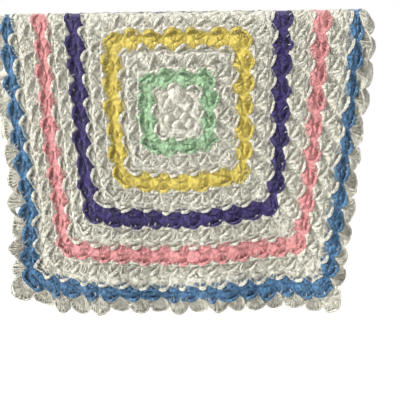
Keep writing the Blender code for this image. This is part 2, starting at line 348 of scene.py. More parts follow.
def wander(a, b):
    """How hand work strays: a sum of waves in all directions, for a, for b and for the height."""
    turn = a[..., None] * STRAY["a"] + b[..., None] * STRAY["b"] + STRAY["start"]
    waves = np.sin(turn)
    return tuple(waves @ STRAY[part] for part in ("shift_a", "shift_b", "lift"))


def fold_angle(a, b):
    """How far a place is turned round the rail: minus a quarter turn in front, plus behind."""
    return np.clip(distance_from_fold(a, b), -QUARTER_FOLD, QUARTER_FOLD) / FOLD_RADIUS


def drape(a, b, height):
    """World points of places of the cloth, each at a height in metres above the cloth's middle."""
    shift_a, shift_b, lift = wander(a, b)
    curl = edging_curl(a, b)
    a, b = settle(a + shift_a, b + shift_b)
    across = a - TIGHT_MIDDLE * np.tanh(a / TIGHT_REACH)
    half_bead = np.where(a < 0, level_value("left", b), level_value("right", b))
    x = level_value("middle", b) + across * half_bead
    distance = distance_from_fold(a, b)
    press = 1 - FOLD_PRESS * hump(distance, FOLD_PRESS_REACH)
    height = (height + lift * MM) * press - curl
    drop = np.clip(np.abs(distance) - QUARTER_FOLD, 0, None)
    angle = fold_angle(a, b)
    radius = FOLD_RADIUS + height + hang_off_plane(a, b, distance)
    return np.stack([x, radius * np.sin(angle), radius * np.cos(angle) - drop - RAIL_RADIUS], -1)


def outward_of(a, b):
    """The direction out of the cloth's right side: up at the crest, level on the panels."""
    angle = fold_angle(*settle(a, b))
    return np.stack([np.zeros_like(angle), np.sin(angle), np.cos(angle)], -1)


lower_left = np.array([-float(BODY_ROUND)])
corner = drape(lower_left, lower_left, 0.0)[0]
print("lower left corner of the blue round at", corner.round(3))

# %% [markdown]
# ## Yarn as a surface
# A strand is a closed tube: an oval section carried along a path. The section stands square to
# the path and to the cloth, so a strand can be wide and low, as a tall stitch is. Hundreds of
# strands are worked out at once, as one big array, and go into one mesh for each band of colour.

# %% Tubes from paths
YARN_PITCH = 5 * MM


def tube_points(paths, out, wide, high, sides, closed=False):
    """Oval tubes round paths, as arrays of shape (strands, steps, sides, 3).

    A point is the path's point + side * wide * cos(turn) + up * high * sin(turn), where side is
    square to the path and the cloth's outward direction, and up is square to side and path.
    """
    if closed:
        along = np.roll(paths, -1, axis=1) - np.roll(paths, 1, axis=1)
    else:
        along = np.gradient(paths, axis=1)
    along /= np.linalg.norm(along, axis=-1, keepdims=True)
    side = np.cross(along, out)
    side /= np.linalg.norm(side, axis=-1, keepdims=True)
    up = np.cross(side, along)
    turn = 2 * math.pi * (np.arange(sides) + 0.5) / sides
    cos, sin = np.cos(turn)[:, None], np.sin(turn)[:, None]
    wide = np.broadcast_to(wide, paths.shape[:2])[..., None, None]
    high = np.broadcast_to(high, paths.shape[:2])[..., None, None]
    return paths[:, :, None] + side[:, :, None] * wide * cos + up[:, :, None] * high * sin


def tube_faces(strands, steps, sides, closed=False):
    """Quads round each tube and one cap at each end, as two arrays of vertex numbers."""
    number = np.arange(strands * steps * sides).reshape(strands, steps, sides)
    here = number if closed else number[:, :-1]
    there = np.roll(number, -1, axis=1) if closed else number[:, 1:]
    quads = np.stack([here, there, np.roll(there, -1, axis=2), np.roll(here, -1, axis=2)], -1)
    caps = np.empty((0, sides), int)
    if not closed:
        caps = np.concatenate([number[:, 0], number[:, -1, ::-1]])
    return quads.reshape(-1, 4), caps


class Band:
    """Gathers the strands of one band of rounds, to put them into one mesh at the end."""

    def __init__(self, yarn):
        self.yarn = yarn
        self.points, self.groups, self.count = [], [], 0

    def add(self, a, b, height, wide, high, sides, closed=False):
        """Strands along places (a, b) of the cloth at a height, all arrays (strands, steps).

        In the yarn map, x is the share of the turn round a strand and y the twists along it. The
        last quad round a tube ends at x = 1, not back at 0.
        """
        paths = drape(a, b, height)
        tube = tube_points(paths, outward_of(a, b), wide, high, sides, closed)
        strands, steps = a.shape
        quads, caps = tube_faces(strands, steps, sides, closed)
        step = np.linalg.norm(np.diff(paths, axis=1), axis=-1)
        length = np.concatenate([np.zeros((strands, 1)), np.cumsum(step, axis=1)], axis=1)
        self.points.append(tube.reshape(-1, 3))
        around = np.broadcast_to(np.arange(sides) / sides, (strands, steps, sides))
        reach = np.broadcast_to(length[..., None], (strands, steps, sides))
        uv = np.stack([around.ravel(), reach.ravel() / YARN_PITCH], -1)
        quad_uv = uv[quads]
        last = quads[:, 0] % sides == sides - 1
        quad_uv[last, 2:, 0] = 1.0
        for faces, face_uv in ((quads, quad_uv), (caps, uv[caps])):
            if len(faces):
                self.groups.append((faces + self.count, face_uv))
        self.count += strands * steps * sides


def put_mesh(name, points, groups):
    """A smooth mesh from points and groups of (faces, places of their corners in the yarn map)."""
    mesh = bpy.data.meshes.new(name)
    corners = np.concatenate([faces.ravel() for faces, _ in groups])
    sizes = np.concatenate([np.full(len(faces), faces.shape[1]) for faces, _ in groups])
    mesh.vertices.add(len(points))
    mesh.vertices.foreach_set("co", points.astype(np.float32).ravel())
    mesh.loops.add(len(corners))
    mesh.loops.foreach_set("vertex_index", corners.astype(np.int32))
    mesh.polygons.add(len(sizes))
    starts = np.concatenate([[0], np.cumsum(sizes)[:-1]])
    mesh.polygons.foreach_set("loop_start", starts.astype(np.int32))
    mesh.update(calc_edges=True)
    yarn_map = mesh.uv_layers.new(name="yarn")
    flat = np.concatenate([face_uv.reshape(-1, 2) for _, face_uv in groups])
    yarn_map.data.foreach_set("uv", flat.astype(np.float32).ravel())
    mesh.shade_smooth()
    mesh.validate()
    piece = bpy.data.objects.new(name, mesh)
    bpy.context.scene.collection.objects.link(piece)
    return piece


print("a strand repeats its twist every", YARN_PITCH, "m")

# %% [markdown]
# ## The yarns
# Baby yarn is soft, matt and a little hairy. Two plies twist round each other, which shows as
# slanted grooves along each strand, so that bump follows the strand's own map. A coarser bump
# breaks the strands up into loops, and a fine one is the hair. The colour drifts between a darker
# and a lighter tone from place to place, most on the dark yarns, and sheen gives the pale bloom
# of loose fibres at grazing angles.

# %% Yarn materials
YARNS = {
    # name: colour, where 1 is all light thrown back, and how far the drift darkens and lightens it
    "white_yarn": ((0.753, 0.729, 0.622), 0.70, 1.20),
    "mint_yarn": ((0.382, 0.587, 0.348), 0.64, 1.26),
    "yellow_yarn": ((0.72, 0.578, 0.114), 0.72, 1.18),
    "purple_yarn": ((0.039, 0.024, 0.134), 0.35, 1.65),
    "pink_yarn": ((0.77, 0.324, 0.320), 0.68, 1.24),
    "blue_yarn": ((0.066, 0.183, 0.336), 0.42, 1.58),
}
YARN_SURFACE = {"Roughness": 0.85, "Specular IOR Level": 0.25,
                "Sheen Weight": 0.4, "Sheen Roughness": 0.5}
DRIFT_NOISE = {"Scale": 150.0, "Detail": 4.0, "Roughness": 0.6}
DRIFT_DARKEST, DRIFT_LIGHTEST = 0.36, 0.64
LOOP_NOISE = {"Scale": 260.0, "Detail": 2.0, "Roughness": 0.6}
FIBRE_NOISE = {"Scale": 900.0, "Detail": 2.0}
# Each bump's strength, and its depth in metres
PLY_BUMP, LOOP_BUMP, FIBRE_BUMP = (0.8, 0.5 * MM), (1.0, 3.6 * MM), (0.5, 0.5 * MM)


def new_node(tree, kind, **values):
    """Add a node, setting its own properties and any socket whose name is given."""
    node = tree.nodes.new(kind)
    for name, value in values.items():
        if hasattr(node, name):
            setattr(node, name, value)
        else:
            node.inputs[name.replace("_", " ")].default_value = value
    return node


def add_noise(tree, place, settings):
    """Noise over the whole blanket, so that it runs on from one strand to the next."""
    noise = new_node(tree, "ShaderNodeTexNoise", **settings)
    tree.links.new(place, noise.inputs["Vector"])
    return noise.outputs["Fac"]


def add_bump(tree, height, strength, depth, under=None):
    """A bump of the given height, laid over the one under it."""
    bump = new_node(tree, "ShaderNodeBump", Strength=strength, Distance=depth)
    tree.links.new(height, bump.inputs["Height"])
    if under:
        tree.links.new(under, bump.inputs["Normal"])
    return bump.outputs["Normal"]


def ply_wave(tree):
    """The groove of the plies: sin(2 pi * (x + y)) of a place (x, y) in the yarn map."""
    link = tree.links.new
    yarn_map = new_node(tree, "ShaderNodeUVMap", uv_map="yarn")
    split = new_node(tree, "ShaderNodeSeparateXYZ")
    link(yarn_map.outputs["UV"], split.inputs["Vector"])
    slant = new_node(tree, "ShaderNodeMath", operation="ADD")
    link(split.outputs["X"], slant.inputs[0])
    link(split.outputs["Y"], slant.inputs[1])
    turn = new_node(tree, "ShaderNodeMath", operation="MULTIPLY")
    turn.inputs[1].default_value = 2 * math.pi
    link(slant.outputs[0], turn.inputs[0])
    wave = new_node(tree, "ShaderNodeMath", operation="SINE")
    link(turn.outputs[0], wave.inputs[0])
    return wave.outputs[0]


def yarn_material(name, colour, darker, lighter):
    """Colour = yarn colour * drift; bump = slanted ply grooves + loops + fine fibres."""
    material = bpy.data.materials.new(name)
    material.use_nodes = True
    tree = material.node_tree
    shader = tree.nodes["Principled BSDF"]
    set_inputs(shader, YARN_SURFACE)

    place = new_node(tree, "ShaderNodeTexCoord").outputs["Object"]
    drift = add_noise(tree, place, DRIFT_NOISE)
    ramp = new_node(tree, "ShaderNodeValToRGB")
    low, high = ramp.color_ramp.elements
    low.position, high.position = DRIFT_DARKEST, DRIFT_LIGHTEST
    low.color = (*(part * darker for part in colour), 1)
    high.color = (*(min(1, part * lighter) for part in colour), 1)
    tree.links.new(drift, ramp.inputs["Fac"])
    tree.links.new(ramp.outputs["Color"], shader.inputs["Base Color"])

    plies = add_bump(tree, ply_wave(tree), *PLY_BUMP)
    loops = add_bump(tree, add_noise(tree, place, LOOP_NOISE), *LOOP_BUMP, under=plies)
    fibres = add_bump(tree, add_noise(tree, place, FIBRE_NOISE), *FIBRE_BUMP, under=loops)
    tree.links.new(fibres, shader.inputs["Normal"])
    return material


materials = {name: yarn_material(name, *row) for name, row in YARNS.items()}
print("yarns:", ", ".join(materials))

# %% [markdown]
# ## The bands of colour, and the shape of a bead
# White rounds lie between one round each of mint, yellow, purple, pink and blue. One mesh holds
# one band, so that a band can be given another yarn.
# A bead is drawn on a square lattice: its four corners lie right, above, left and below its
# middle. Where two beads of one round meet they share a short neck, so the lattice's corner is
# split in two there, one point nearer the middle of the blanket and one further out. The edge
# between such points is bowed outwards, which makes each round's rim a row of scallops. How deep
# they are depends on the round and its colour, and they are flatter along a round's lower side.

# %% Bands, beads and their edges
BANDS = (
    # name, first round, last round, yarn
    ("middle_rounds", 0, 2, "white_yarn"),
    ("mint_round", 3, 3, "mint_yarn"),
    ("white_rounds_1", 4, 5, "white_yarn"),
    ("yellow_round", 6, 6, "yellow_yarn"),
    ("white_rounds_2", 7, 8, "white_yarn"),
    ("purple_round", 9, 9, "purple_yarn"),
    ("white_rounds_3", 10, 11, "white_yarn"),
    ("pink_round", 12, 12, "pink_yarn"),
    ("white_rounds_4", 13, 14, "white_yarn"),
    ("blue_round", 15, 15, "blue_yarn"),
    ("shell_edging", 16, 16, "white_yarn"),
)
# The edge of a round: how far its notches lie outside, and its tips inside, the lattice's corners
NOTCH_OUT, TIP_IN = 0.10, 0.12
NOTCH_OUT_OF_COLOUR, TIP_IN_OF_COLOUR = 0.52, 0.12
NOTCH_OUT_TO_COLOUR, TIP_IN_TO_COLOUR = 0.28, 0.33
NOTCH_OUT_OF_LAST, TIP_IN_OF_LAST = 0.42, 0.22
NOTCH_OUT_TO_LAST, TIP_IN_TO_LAST = 0.42, 0.14
EDGE_BOW = 0.28
LOWER_FLATTER = 1.28
# Corners right, above, left and below; side k goes from corner k to corner k + 1
CORNERS = np.array([(1, 0), (0, 1), (-1, 0), (0, -1)])
ACROSS_SIDE = np.array([(1, 1), (-1, 1), (-1, -1), (1, -1)])


def round_of(places):
    """Number of the round of some places: the larger of their two distances from the middle."""
    return np.abs(places).max(axis=-1)


def beads_of(rounds):
    """Middles (a, b) of the beads of some rounds: whole a and b, with an even sum."""
    last = max(rounds)
    a, b = np.meshgrid(np.arange(-last, last + 1), np.arange(-last, last + 1))
    beads = np.stack([a, b], -1)
    return beads[((a + b) % 2 == 0) & np.isin(round_of(beads), list(rounds))]


def sides_of(rounds, outer):
    """Every bead side that faces outwards, or inwards: the bead's middle and the side's number."""
    beads = np.repeat(beads_of(rounds), 4, axis=0)
    side = np.tile(np.arange(4), len(beads) // 4)
    chosen = (round_of(beads + ACROSS_SIDE[side]) > round_of(beads)) == outer
    return beads[chosen], side[chosen]


def quarter_turn(way):
    """Directions (a, b) turned anticlockwise by a right angle."""
    return np.stack([-way[..., 1], way[..., 0]], -1)


def outer_corner(bead, number):
    """A corner as an outer side sees it, and whether it is a neck.

    A neck's outer point, the notch, lies a little further out than the lattice's corner, and a
    tip lies a little nearer the middle. How much depends on the round and its colour.
    """
    corner = bead + CORNERS[number % 4]
    out = np.where(np.abs(corner) == round_of(corner)[:, None], np.sign(corner), 0)
    own = round_of(bead)
    neck = round_of(corner) == own
    move = np.where(neck, NOTCH_OUT_BY_ROUND[own], -TIP_IN_BY_ROUND[own])
    move = move * np.where(corner[:, 1] == -round_of(corner), LOWER_FLATTER, 1)
    return corner + out * move[:, None], neck[:, None]


def outer_edge(bead, side, s):
    """Points on outer sides: start + s * (end - start) + s * (1 - s) * bow, for s from 0 to 1.

    The bow is square to the side, away from the bead, and in proportion to the side's length.
    """
    start, end = outer_corner(bead, side)[0], outer_corner(bead, side + 1)[0]
    way = end - start
    bow = -EDGE_BOW * quarter_turn(way)
    s = s[..., None]
    return start[:, None] + s * way[:, None] + s * (1 - s) * bow[:, None]


def edge_points(bead, side, s, outer):
    """Points on any sides: an inner side is the outer side of the bead across it, read backwards."""
    if outer:
        return outer_edge(bead, side, s)
    return outer_edge(bead + ACROSS_SIDE[side], (side + 2) % 4, 1 - s)


bands = {name: Band(yarn) for name, _, _, yarn in BANDS}
COLOURED_ROUNDS = [first for _, first, _, yarn in BANDS if yarn != "white_yarn"]
NOTCH_OUT_BY_ROUND = np.full(EDGING_ROUND + 2, NOTCH_OUT)
TIP_IN_BY_ROUND = np.full(EDGING_ROUND + 2, TIP_IN)
for number in COLOURED_ROUNDS:
    NOTCH_OUT_BY_ROUND[number - 1:number + 1] = NOTCH_OUT_TO_COLOUR, NOTCH_OUT_OF_COLOUR
    TIP_IN_BY_ROUND[number - 1:number + 1] = TIP_IN_TO_COLOUR, TIP_IN_OF_COLOUR
NOTCH_OUT_BY_ROUND[BODY_ROUND - 1:BODY_ROUND + 1] = NOTCH_OUT_TO_LAST, NOTCH_OUT_OF_LAST
TIP_IN_BY_ROUND[BODY_ROUND - 1:BODY_ROUND + 1] = TIP_IN_TO_LAST, TIP_IN_OF_LAST
rounds_of = {name: range(first, last + 1) for name, first, last, _ in BANDS}
print("beads in the body:", len(beads_of(range(BODY_ROUND + 1))))

# %% [markdown]
# ## Tall stitches
# On a bead's inner sides the stitches come up from under the last round and draw together in
# the eye: that is the cluster. On its outer sides they fan out from the eye: that is the shell.
# Each is a low oval strand that swells and sinks as the table says, so the bead is a soft mound
# with a groove before its edge. In the middle rounds the inner sides are as low as the shells.
# Small random shifts, from a fixed seed, keep it hand-made.

# %% Clusters and shells
# Along a stitch: share of the way from the eye to the side, height, half width, half thickness
SHELL = {
    "reach": (0.10, 0.30, 0.52, 0.70, 0.84, 0.94),
    "height": (3.2, 4.0, 1.8, -0.2, 0.0, 2.8),
    "wide": (1.0, 1.2, 1.3, 1.3, 1.4, 1.7),
    "high": (1.3, 1.5, 1.5, 1.5, 1.5, 1.6),
}
CLUSTER = {
    "reach": (0.12, 0.34, 0.58, 0.84, 1.06),
    "height": (2.6, 5.0, 5.0, 2.6, 1.2),
    "wide": (1.1, 1.6, 1.9, 1.8, 1.4),
    "high": (1.4, 2.0, 2.2, 1.7, 1.1),
}
SHELL_PLACES = (0.08, 0.25, 0.42, 0.59, 0.76, 0.93)
CLUSTER_PLACES = (0.14, 0.38, 0.62, 0.86)
# How strands differ: in height (millimetres), and as shares in width, bow and place on the side
HEIGHT_SPREAD, WIDTH_SPREAD, BOW_SPREAD, PLACE_SPREAD = 0.85, 0.07, 0.02, 0.015
STITCH_SEED = 7
rng = np.random.default_rng(STITCH_SEED)


def strand_shape(shape, count):
    """Height, half width and half thickness along each strand, a little different on each."""
    height = np.array(shape["height"]) + rng.normal(0, HEIGHT_SPREAD, (count, 1))
    wide = np.array(shape["wide"]) * rng.normal(1, WIDTH_SPREAD, (count, 1))
    high = np.broadcast_to(np.array(shape["high"]), wide.shape)
    return height * MM, wide * MM, high * MM


def fan_out(bead, target, shape):
    """Strands from each eye to its target: bead + reach * (target - bead), bowed a little."""
    way = (target - bead)[:, None]
    reach = np.array(shape["reach"])
    bow = rng.normal(0, BOW_SPREAD, (len(bead), 1)) * np.sin(math.pi * reach)
    places = bead[:, None] + reach[None, :, None] * way + bow[..., None] * quarter_turn(way)
    return places[..., 0], places[..., 1], *strand_shape(shape, len(bead))


def tall_stitches(rounds, outer, shape, at):
    """A fan of strands to every outer side, or a cluster from every inner side."""
    bead, side = (np.repeat(part, len(at), axis=0) for part in sides_of(rounds, outer))
    s = np.tile(at, len(side) // len(at)) + rng.normal(0, PLACE_SPREAD, len(side))
    return fan_out(bead, edge_points(bead, side, s[:, None], outer)[:, 0], shape)


for name in list(bands)[:-1]:
    rounds = rounds_of[name]
    bands[name].add(*tall_stitches(rounds, True, SHELL, SHELL_PLACES), sides=4)
    inner = SHELL if rounds[0] == 0 else CLUSTER
    bands[name].add(*tall_stitches(rounds, False, inner, CLUSTER_PLACES), sides=5)
blue_stitches = tall_stitches([BODY_ROUND], True, SHELL, SHELL_PLACES)[0]
print("tall stitches of the blue round:", len(blue_stitches))

# %% [markdown]
# ## The raised edges
# The tops of the tall stitches are chain loops, which stand up as a ridge round each shell.
# The ridge of a round is one closed row of scallops, from the neck between two beads out to a
# bead's tip and back. It is made of two strands side by side that lean in and out by turns.
# It stands up as a bar on two sides of a bead, upper left and lower right. On the other two it
# is a low, flat edge.

# %% Ridges
RIDGE_STEPS, FIRST_RIDGE = 10, 2
# Along a side from neck to tip: share of the bead's size, and height and radius in millimetres
RIDGE = {
    "from_neck": (0, 0.15, 0.35, 0.6, 0.85, 1.0),
    "size": (0.93, 0.92, 0.92, 0.93, 0.94, 0.94),
    "height": (-1.0, 3.4, 7.2, 8.0, 6.8, 3.2),
    "flat_height": (-1.0, -0.4, 0.0, 0.0, 0.4, 3.2),
    "thick": (0.8, 1.5, 2.4, 2.6, 2.3, 1.6),
    "flat_thick": (0.8, 1.0, 1.1, 1.1, 1.3, 1.6),
}
BAR_SIDES = (1, 3)
RIDGE_SIZE_SPREAD, RIDGE_HEIGHT_SPREAD = 0.012, 0.35
# How far the ground rises under a ridge, of a bar's full rise: along a side, and on a flat side
RISE = {"from_neck": (0, 0.15, 0.4, 1), "share": (0.1, 0.5, 0.9, 1.0)}
FLAT_SHARE = 0.3
# A ridge's pair of strands, in millimetres, and every pair's loops: steps, lift and swelling
RIDGE_APART, RIDGE_SWING = 1.4, 0.6
LOOP_STEPS, LOOP_LIFT, LOOP_SWELL = 2.5, 0.8, 0.15


def ridge_sides(number):
    """The outer sides of a round, anticlockwise from its lower left corner: beads and sides."""
    along = np.arange(-number + 2, number, 2)
    bead = np.concatenate([[(-number, -number)] * 3,
                           np.stack([np.repeat(along, 2), np.full(2 * len(along), -number)], -1)])
    side = np.concatenate([[1, 2, 3], np.tile([2, 3], len(along))])
    beads, sides = [], []
    for quarter in range(4):
        beads.append(bead)
        sides.append((side + quarter) % 4)
        bead = quarter_turn(bead)
    return np.concatenate(beads), np.concatenate(sides)


def way_from_neck(bead, side, s):
    """How far points on outer sides lie from a neck, in sides; 1 where a side has no neck."""
    from_start, from_end = outer_corner(bead, side)[1], outer_corner(bead, side + 1)[1]
    return np.where(from_start, s, np.where(from_end, 1 - s, 1.0))


def ridge_line(number):
    """Middle line of a ridge in the pattern, with its height and radius in millimetres."""
    bead, side = ridge_sides(number)
    s = np.broadcast_to(np.arange(RIDGE_STEPS) / RIDGE_STEPS, (len(bead), RIDGE_STEPS))
    from_neck = way_from_neck(bead, side, s)
    size = smooth_between(from_neck, RIDGE["from_neck"], RIDGE["size"])
    size = size + rng.normal(0, RIDGE_SIZE_SPREAD, size.shape)
    places = bead[:, None] + size[..., None] * (outer_edge(bead, side, s) - bead[:, None])
    height, thick = (
        np.where(np.isin(side, BAR_SIDES)[:, None],
                 smooth_between(from_neck, RIDGE["from_neck"], RIDGE[part]),
                 smooth_between(from_neck, RIDGE["from_neck"], RIDGE["flat_" + part]))
        for part in ("height", "thick"))
    return places.reshape(1, -1, 2), height.reshape(1, -1), thick.reshape(1, -1)


def ridge_rise(bead, side, s):
    """How much of its full rise the ground has along outer sides: little at a neck, then all."""
    rise = smooth_between(way_from_neck(bead, side, s), RISE["from_neck"], RISE["share"])
    share = np.where(np.isin(side, BAR_SIDES), 1.0, FLAT_SHARE) * (round_of(bead) >= FIRST_RIDGE)
    return rise * share[:, None]


def beside(places, offset):
    """A closed line moved sideways by an offset in metres, to the right of its own way."""
    ahead = np.roll(places, -1, axis=1) - np.roll(places, 1, axis=1)
    ahead /= np.linalg.norm(ahead, axis=-1, keepdims=True)
    return places - quarter_turn(ahead) * (offset / HALF_BEAD)[..., None]


def add_pair(band, places, height, apart, swing, radius):
    """Two closed strands beside a line, at +- apart + swing * cos, all in millimetres."""
    loops = 2 * math.pi * np.arange(places.shape[1])[None] / LOOP_STEPS
    for way in (1, -1):
        line = beside(places, (way * apart + swing * np.cos(loops)) * MM)
        lift = height + LOOP_LIFT * np.cos(loops + way * math.pi / 2)
        thick = radius * (1 + LOOP_SWELL * np.sin(loops)) * MM
        band.add(line[..., 0], line[..., 1], lift * MM, thick, thick, sides=4, closed=True)


for name in list(bands)[:-1]:
    for number in rounds_of[name]:
        if number < FIRST_RIDGE:
            continue
        places, height, thick = ridge_line(number)
        height = height + rng.normal(0, RIDGE_HEIGHT_SPREAD, height.shape)
        add_pair(bands[name], places, height, RIDGE_APART, RIDGE_SWING, thick)
print("ridge steps in the blue round:", ridge_line(BODY_ROUND)[0].shape[1])

# %% [markdown]
# ## The next round's loops
# The cluster of a round is worked round the stitches of the round before, so short loops of the
# next yarn lie across the shell, just inside its ridge. Where the colour changes they show as
# little ticks of the other colour.

# %% Ticks
TICK_RADIUS = 1.0
TICKS_ON_WHITE, TICKS_ON_COLOUR = 0.7, 0.12
TICK_PLACES = (0.165, 0.335, 0.505, 0.675, 0.845)
TICK_SHAPE = {"reach": (0.62, 0.70, 0.80, 0.88), "height": (0.2, 1.8, 3.2, 4.4)}
# How a tick's points lean to one side, and how ticks differ: as a share, and in millimetres
TICK_LEAN = (-1, -0.3, 0.3, 1)
TICK_SPREAD, TICK_HEIGHT_SPREAD = 0.02, 0.2


def ticks(number, share):
    """Short strands between a share of a round's stitches, from the groove up to the ridge."""
    bead, side = (np.repeat(part, len(TICK_PLACES), axis=0) for part in sides_of([number], True))
    s = np.tile(TICK_PLACES, len(side) // len(TICK_PLACES)) + rng.normal(0, TICK_SPREAD, len(side))
    shown = rng.random(len(side)) < share
    bead, side, s = bead[shown], side[shown], s[shown]
    lean = s[:, None] + rng.normal(0, TICK_SPREAD, (len(side), 1)) * np.array(TICK_LEAN)
    edge = outer_edge(bead, side, lean)
    reach = np.array(TICK_SHAPE["reach"]) + rng.normal(0, TICK_SPREAD, (len(side), 1))
    places = bead[:, None] + reach[..., None] * (edge - bead[:, None])
    height = np.array(TICK_SHAPE["height"]) + rng.normal(0, TICK_HEIGHT_SPREAD, (len(side), 1))
    radius = np.full(height.shape, TICK_RADIUS * MM)
    return places[..., 0], places[..., 1], height * MM, radius, radius


for name in bands:
    for number in rounds_of[name]:
        if number > 0:
            share = TICKS_ON_COLOUR if number - 1 in COLOURED_ROUNDS else TICKS_ON_WHITE
            bands[name].add(*ticks(number - 1, share), sides=4)
print("coloured rounds:", COLOURED_ROUNDS)

# %% [markdown]
# ## The puff in the middle
# The blanket is begun just above its middle, and the first stitches gather into a round puff.
# Six small petals lie round it. The puff and the petals are made alike, of strands side by side
# over an oval mound that is highest in its middle and sinks to its base all round.

# %% Puff and petals
PETALS = (
    # middle (a, b), half width, half length, base and height in millimetres, turn in degrees, strands
    ((-0.02, 1.78), 0.92, 1.05, -2.0, 10.5, -8, 15),
    ((-0.96, -0.67), 0.30, 0.50, 1.0, 7.0, -42, 6),
    ((0.70, -0.40), 0.28, 0.50, 1.0, 7.0, -50, 6),
    ((1.15, 0.50), 0.24, 0.48, 1.0, 7.0, -45, 6),
    ((1.22, -1.20), 0.28, 0.46, 1.0, 6.5, -38, 6),
    ((-1.15, 0.85), 0.26, 0.50, 1.0, 6.5, -42, 6),
    ((0.0, -1.15), 0.28, 0.48, 1.0, 6.5, -48, 6),
)
PETAL_STEPS = 9
# The outermost strands' place, the share of the width at the ends, and how the strands differ
PETAL_REACH, PETAL_END_WIDTH = 0.92, 0.25
PETAL_HEIGHT_SPREAD, PETAL_THICK_SPREAD = 0.2, 0.06
# A strand's radius at its ends, and how much more it has in its middle, in millimetres
PETAL_THICK, PETAL_SWELL = 0.9, 1.2


def petal(middle, half_width, half_length, base, rise, turn, strands):
    """Strands side by side whose height is base + rise * (1 - along^2) * (1 - across^2)."""
    across = np.linspace(-PETAL_REACH, PETAL_REACH, strands)[:, None]
    along = np.sin(np.linspace(-math.pi / 2, math.pi / 2, PETAL_STEPS))[None]
    swell = np.sqrt(1 - along**2)
    right = half_width * across * (PETAL_END_WIDTH + (1 - PETAL_END_WIDTH) * swell)
    up = half_length * along
    cos, sin = math.cos(math.radians(turn)), math.sin(math.radians(turn))
    height = base + rise * swell**2 * (1 - across**2)
    height = height + rng.normal(0, PETAL_HEIGHT_SPREAD, (strands, 1))
    thick = (PETAL_THICK + PETAL_SWELL * swell) * rng.normal(1, PETAL_THICK_SPREAD, (strands, 1)) * MM
    return (middle[0] + right * cos - up * sin, middle[1] + right * sin + up * cos,
            height * MM, thick, thick)


for row in PETALS:
    bands["middle_rounds"].add(*petal(*row), sides=6)
print("puff and petals:", len(PETALS))

# %% [markdown]
# ## The scalloped edging
# The last round is 64 white shells, each fanned from the neck between two blue beads, with a
# corner shell that turns through a right angle. Its rim is a pair of strands like a ridge. Where
# the hang pulls the joints of the shells apart, a small gap stays open beside a shell's foot.

# %% Edging shells
LOBE_HEIGHT, NOTCH_ROUND = 0.62, 16.02
SHELLS = 4 * EDGING_ROUND
# A shell's strands: their turns in degrees, the share of the lobe they fill, how they differ
FAN = np.linspace(-80, 80, 10)
FAN_SHARE, FAN_SPREAD = 0.93, 0.05
# Where a strand starts: how deep inside the walk, less by the curve at the sides, and how wide
FOOT_DEPTH, FOOT_CURVE, FOOT_WIDTH = 0.57, 0.15, 0.30
CORNER_FOOT_DEPTH, CORNER_FOOT_WIDTH = 0.42, 0.42
EDGING_STITCH = {
    "reach": (0.0, 0.25, 0.5, 0.75, 1.0),
    "height": (-1.2, 0.6, 1.8, 2.2, 1.4),
    "wide": (0.8, 0.9, 1.0, 1.1, 1.2),
    "high": (1.3, 1.7, 1.8, 1.7, 1.4),
}
# The rim: steps to a shell, its share of the lobe, and its pair of strands in millimetres
RIM_STEPS, RIM_SHARE = 10, 0.94
RIM_HEIGHT, RIM_APART, RIM_SWING, RIM_RADIUS = 1.0, 1.1, 0.35, 1.45
# Gaps beside the foot of a shell: side (1 right), row where two shells meet, above or below it
GAPS = np.array([(1, 5, -1), (1, 3, 1), (1, 3, -1), (1, 1, 1), (1, 1, -1), (1, -1, 1),
                 (-1, 3, 1), (-1, 3, -1), (-1, 1, 1), (-1, 1, -1), (-1, -9, 1)])
GAP_LENGTH, GAP_WIDTH, GAP_FROM_JOINT, GAP_ROUND = 0.44, 0.22, 0.42, 15.98
# How many times its size a gap has for the stitches and for the ground, and the points tried
GAP_MARGIN, GROUND_GAP = 2.0, 1.9
PROBES = np.linspace(0.1, 1, 14)


def outside_gaps(places, size):
    """Whether places lie outside every gap, each a diamond of the given share of its size."""
    row = GAPS[:, 1] + GAPS[:, 2] * GAP_FROM_JOINT
    across = np.abs(places[:, :1] - GAPS[:, 0] * GAP_ROUND) / (GAP_WIDTH / 2)
    along = np.abs(places[:, 1:] - row) / (GAP_LENGTH / 2)
    return ((across + along) > size).all(axis=1)


def edge_walk(steps):
    """Points and outward directions along the square of the edging, from its lower left corner.

    Steps are half beads. The direction turns through 90 degrees over a corner shell.
    """
    steps = np.asarray(steps, float)
    length = 2 * EDGING_ROUND
    side, along = np.divmod(steps % (4 * length), length)
    a, b = along - EDGING_ROUND, np.full_like(along, -EDGING_ROUND)
    turn = np.where(along < 1, along - 1, np.where(along > length - 1, along - length + 1, 0))
    lean = math.radians(45) * turn - math.radians(90) + side * math.pi / 2
    cos, sin = np.cos(side * math.pi / 2), np.sin(side * math.pi / 2)
    place = np.stack([a * cos - b * sin, a * sin + b * cos], -1)
    return place, np.stack([np.cos(lean), np.sin(lean)], -1)


def lobe_point(shell, turn, share=1.0):
    """Outline of a shell: the walk at its middle + sin(turn), pushed out by height * cos(turn)."""
    place, out = edge_walk(2.0 * shell + np.sin(turn))
    return place * NOTCH_ROUND / EDGING_ROUND + out * (share * LOBE_HEIGHT * np.cos(turn))[..., None]


def shell_foot(shell, spread):
    """Where a shell's stitches start: just outside the neck, fanned a little along the edge."""
    place, out = edge_walk(2.0 * shell)
    at_corner = (shell % EDGING_ROUND == 0)[..., None]
    spread = spread[..., None]
    depth = np.where(at_corner, CORNER_FOOT_DEPTH, FOOT_DEPTH - FOOT_CURVE * spread**2)
    width = np.where(at_corner, CORNER_FOOT_WIDTH, FOOT_WIDTH)
    return place - out * depth + quarter_turn(out) * width * spread


def blend(start, end, share):
    """Places between start and end: start * (1 - share) + end * share."""
    return start * (1 - share) + end * share


